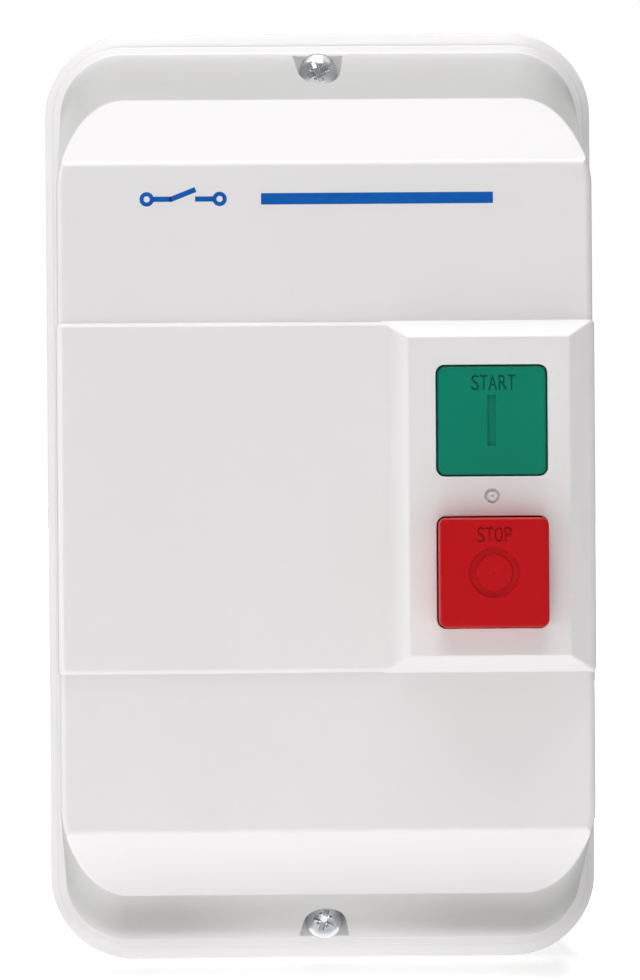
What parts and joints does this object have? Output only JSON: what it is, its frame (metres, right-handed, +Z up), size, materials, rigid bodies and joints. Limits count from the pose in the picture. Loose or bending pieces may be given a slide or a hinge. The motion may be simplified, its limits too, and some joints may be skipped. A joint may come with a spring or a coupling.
{
  "type": "motor protection breaker",
  "caption": "Wall-mounted enclosed motor starter: moulded box with START and STOP push-buttons over a contactor and a thermal overload relay on a rail.",
  "frame": {"origin": "centre of the rear case's back face, which lies on the wall", "axes": "+Z up, +X to the right of someone facing the buttons, -Y out of the wall towards that person"},
  "size_m": [0.112, 0.1215, 0.19],
  "materials": {
    "case": "fine moulded texture, light grey",
    "seal": "moulded black",
    "zinc": "bright zinc plated",
    "start_green": "satin green, engraved legend",
    "stop_red": "satin red, engraved legend",
    "dark_moulding": "moulded dark grey",
    "ivory_moulding": "moulded ivory",
    "white_moulding": "moulded white",
    "blue_moulding": "moulded blue",
    "core_iron": "laminated electrical steel",
    "copper": "copper, plain or enamelled",
    "brass": "drawn brass",
    "clear": "clear plastic",
    "wire": "black insulation",
    "wire_red": "red insulation"
  },
  "bodies": {
    "enclosure": {"rear_case": "case", "cover_gasket": "seal", "rail_screw_left": "zinc", "rail_screw_right": "zinc", "earth_screw": "zinc", "din_rail": "zinc", "return_spring_left": "zinc", "return_spring_right": "zinc", "start_contact_block": "dark_moulding", "contactor_base": "dark_moulding", "contactor_body": "ivory_moulding", "fixed_core": "core_iron", "coil_bobbin": "white_moulding", "coil_winding": "copper", "relay_housing": "ivory_moulding", "earth_terminal": "brass", "wire_coil": "wire", "wire_start": "wire_red", "line_terminal_l1": "brass", "line_screw_l1": "zinc", "line_terminal_l2": "brass", "line_screw_l2": "zinc", "line_terminal_l3": "brass", "line_screw_l3": "zinc", "load_terminal_t1": "brass", "load_screw_t1": "zinc", "load_terminal_t2": "brass", "load_screw_t2": "zinc", "load_terminal_t3": "brass", "load_screw_t3": "zinc", "relay_conductor_1": "copper", "output_screw_1": "zinc", "relay_conductor_2": "copper", "output_screw_2": "zinc", "relay_conductor_3": "copper", "output_screw_3": "zinc"},
    "cover": {"front_cover": "case", "button_gasket": "seal", "button_retainer": "dark_moulding", "retainer_screw_left": "zinc", "retainer_screw_right": "zinc", "screw_retaining_ring_top": "seal", "screw_retaining_ring_bottom": "seal", "start_spring": "zinc", "stop_spring": "zinc"},
    "upper_screw": {"cover_screw_top": "zinc"},
    "lower_screw": {"cover_screw_bottom": "zinc"},
    "start": {"start_button": "start_green"},
    "stop": {"stop_button": "stop_red"},
    "start_contact": {"start_contact_plunger": "white_moulding"},
    "reset": {"reset_plunger": "blue_moulding"},
    "contactor_armature": {"contact_carrier": "dark_moulding", "armature_core": "core_iron", "contact_bridge_l1": "copper", "contact_bridge_l2": "copper", "contact_bridge_l3": "copper"},
    "dial": {"current_dial": "white_moulding"},
    "dial_flap": {"dial_cover": "clear"},
    "tester": {"test_slider": "stop_red"}
  },
  "joints": [
    {"name": "cover_lift_off", "type": "slide", "parent": "enclosure", "child": "cover", "axis": [0, -1, 0], "range_m": [0, 0.12]},
    {"name": "upper_screw_turn", "type": "hinge", "parent": "cover", "child": "upper_screw", "pos_m": [0, -0.0468, 0.0866], "axis": [0, -1, 0], "continuous": true},
    {"name": "lower_screw_turn", "type": "hinge", "parent": "cover", "child": "lower_screw", "pos_m": [0, -0.0468, -0.0866], "axis": [0, -1, 0], "continuous": true},
    {"name": "start_press", "type": "slide", "parent": "cover", "child": "start", "axis": [0, 1, 0], "range_m": [0, 0.0035], "stiffness_N_per_m": 400, "springref_m": -0.002, "deforming": ["start_spring"]},
    {"name": "stop_press", "type": "slide", "parent": "cover", "child": "stop", "axis": [0, 1, 0], "range_m": [0, 0.0045], "stiffness_N_per_m": 400, "springref_m": -0.002, "deforming": ["stop_spring"]},
    {"name": "start_plunger_press", "type": "slide", "parent": "enclosure", "child": "start_contact", "axis": [0, 1, 0], "range_m": [0, 0.0035]},
    {"name": "reset_plunger_press", "type": "slide", "parent": "enclosure", "child": "reset", "axis": [0, 1, 0], "range_m": [0, 0.0045]},
    {"name": "armature_pull", "type": "slide", "parent": "enclosure", "child": "contactor_armature", "axis": [0, 1, 0], "range_m": [0, 0.0052], "stiffness_N_per_m": 600, "springref_m": -0.003, "deforming": ["return_spring_left", "return_spring_right"]},
    {"name": "current_dial_turn", "type": "hinge", "parent": "enclosure", "child": "dial", "pos_m": [0.005, -0.0883, -0.024], "axis": [0, -1, 0], "range_deg": [-120, 120]},
    {"name": "dial_cover_open", "type": "hinge", "parent": "enclosure", "child": "dial_flap", "pos_m": [-0.002, -0.0944, -0.024], "axis": [0, 0, -1], "range_deg": [0, 100]},
    {"name": "test_slide", "type": "slide", "parent": "enclosure", "child": "tester", "axis": [1, 0, 0], "range_m": [0, 0.0035]}
  ],
  "couplings": [
    {"joint": "start_plunger_press", "follows": "start_press", "ratio": 1},
    {"joint": "reset_plunger_press", "follows": "stop_press", "ratio": 1}
  ]
}
